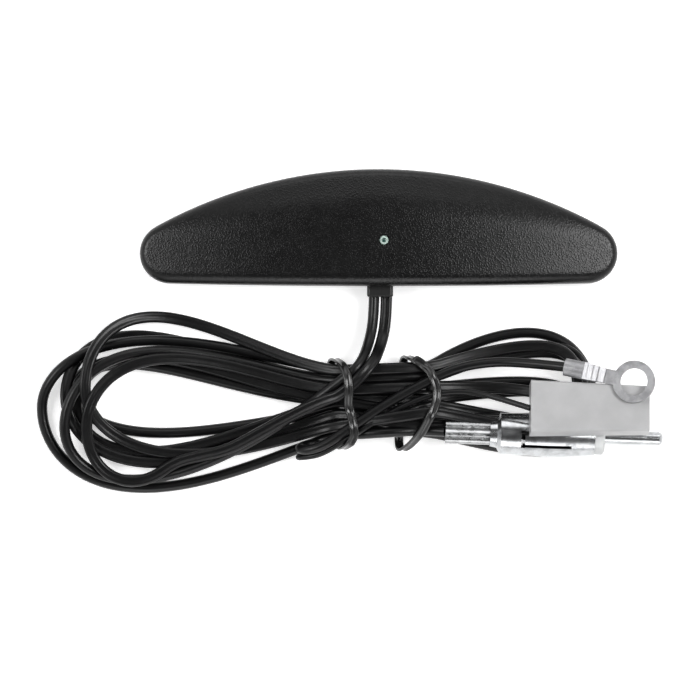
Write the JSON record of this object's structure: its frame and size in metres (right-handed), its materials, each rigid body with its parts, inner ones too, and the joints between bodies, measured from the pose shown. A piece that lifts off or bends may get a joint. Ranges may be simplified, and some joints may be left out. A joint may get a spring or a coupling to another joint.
{
  "type": "amplified windscreen radio aerial",
  "caption": "Bow-shaped stick-on car radio aerial with amplifier; coax to an aerial plug, twin lead to a ring terminal and supply connector, tied in a hank.",
  "frame": {"origin": "on the surface that the part lies on, under the plan centre of the case, which is the middle of its release liner's face", "axes": "+X along the case, +Y towards its curved edge, +Z away from the adhesive face"},
  "size_m": [0.1472, 0.0765, 0.0194],
  "materials": {
    "cover_black": "fine pebble grain, satin black ABS",
    "base_black": "smooth black ABS",
    "tape_grey": "closed-cell acrylic foam",
    "liner_paper": "waxed release paper",
    "steel_screw": "zinc plated steel",
    "pcb_green": "solder mask on glass-fibre board",
    "led_clear": "clear epoxy lamp",
    "tinned": "tinned copper",
    "chip_black": "moulded epoxy",
    "chip_tan": "ceramic",
    "can_alu": "plain can",
    "ferrite": "sintered ferrite",
    "enamel_copper": "enamelled copper",
    "foil_copper": "bare copper strip",
    "gland_rubber": "moulded PVC",
    "cable_black": "smooth PVC jacket, slight sheen",
    "tie_black": "PVC over soft steel wire",
    "plug_plate": "bright nickel plate",
    "plug_white": "white acetal",
    "terminal_tin": "dull tin plate",
    "nylon_natural": "natural translucent nylon",
    "receptacle_brass": "plain brass"
  },
  "bodies": {
    "root": {"top_cover": "cover_black", "base_plate": "base_black", "housing_screws": "steel_screw", "mounting_tape": "tape_grey", "release_liner": "liner_paper", "pcb": "pcb_green", "pcb_screws": "steel_screw", "led": "led_clear", "led_legs": "tinned", "chip_resistors": "chip_black", "chip_capacitors": "chip_tan", "rf_transistors": "chip_black", "electrolytic_capacitor": "can_alu", "choke_core": "ferrite", "choke_winding": "enamel_copper", "air_coils": "enamel_copper", "aerial_element_left": "foil_copper", "aerial_element_right": "foil_copper", "solder_mounds": "tinned", "cable_gland": "gland_rubber", "coax_core_end": "cable_black", "supply_core_ends": "cable_black", "cable_clamp": "base_black", "clamp_screw": "steel_screw", "twist_tie_left": "tie_black", "twist_tie_right": "tie_black", "cable_hank": "cable_black", "coax_lead": "cable_black", "twin_lead": "cable_black", "ground_wire": "cable_black", "supply_wire": "cable_black", "coax_tail": "cable_black", "plug_ferrule": "plug_plate", "plug_sleeve": "plug_plate", "plug_insulator": "plug_white", "plug_pin": "plug_plate", "ring_terminal": "terminal_tin", "connector_housing": "nylon_natural", "blade_receptacle": "receptacle_brass"}
  },
  "joints": []
}
